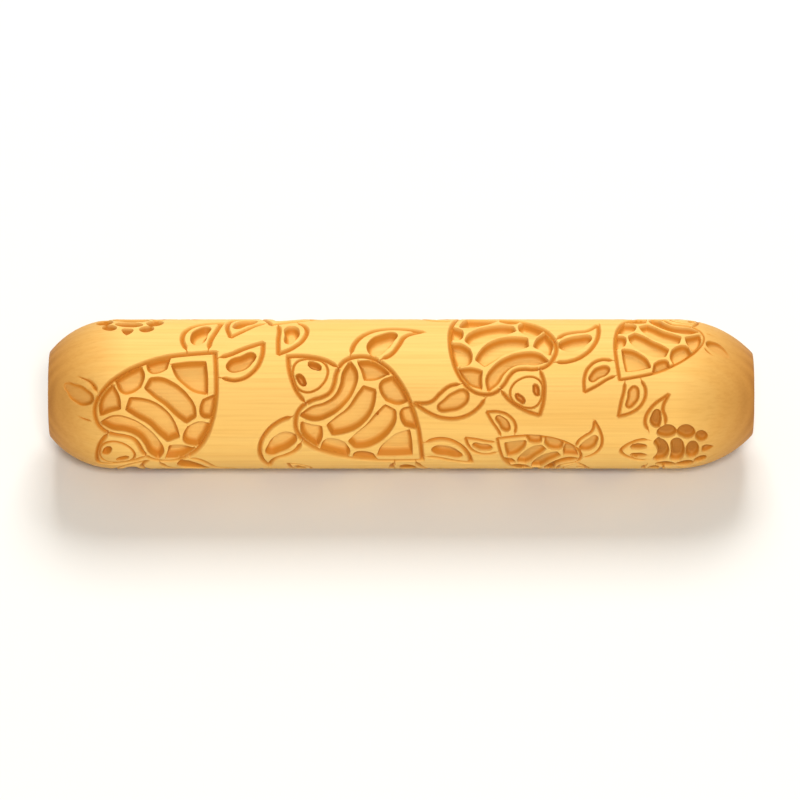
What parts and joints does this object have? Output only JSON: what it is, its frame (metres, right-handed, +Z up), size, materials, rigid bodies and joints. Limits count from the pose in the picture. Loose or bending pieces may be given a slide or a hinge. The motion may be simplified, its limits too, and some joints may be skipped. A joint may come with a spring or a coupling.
{
  "type": "pattern roller",
  "caption": "Solid turned wooden hand roller with arc shoulders, flat ends and a barrel carved all round with sea turtles, for pressing a relief pattern into clay or dough.",
  "frame": {"origin": "centre of the roller, on its turning axis", "axes": "+X along the turning axis to the end with the longer shoulder; +Z up as it lies on its side; +Y to the back"},
  "size_m": [0.2, 0.0425, 0.0426],
  "materials": {
    "turned_wood": "satin"
  },
  "bodies": {
    "root": {"carved_roller": "turned_wood"}
  },
  "joints": []
}
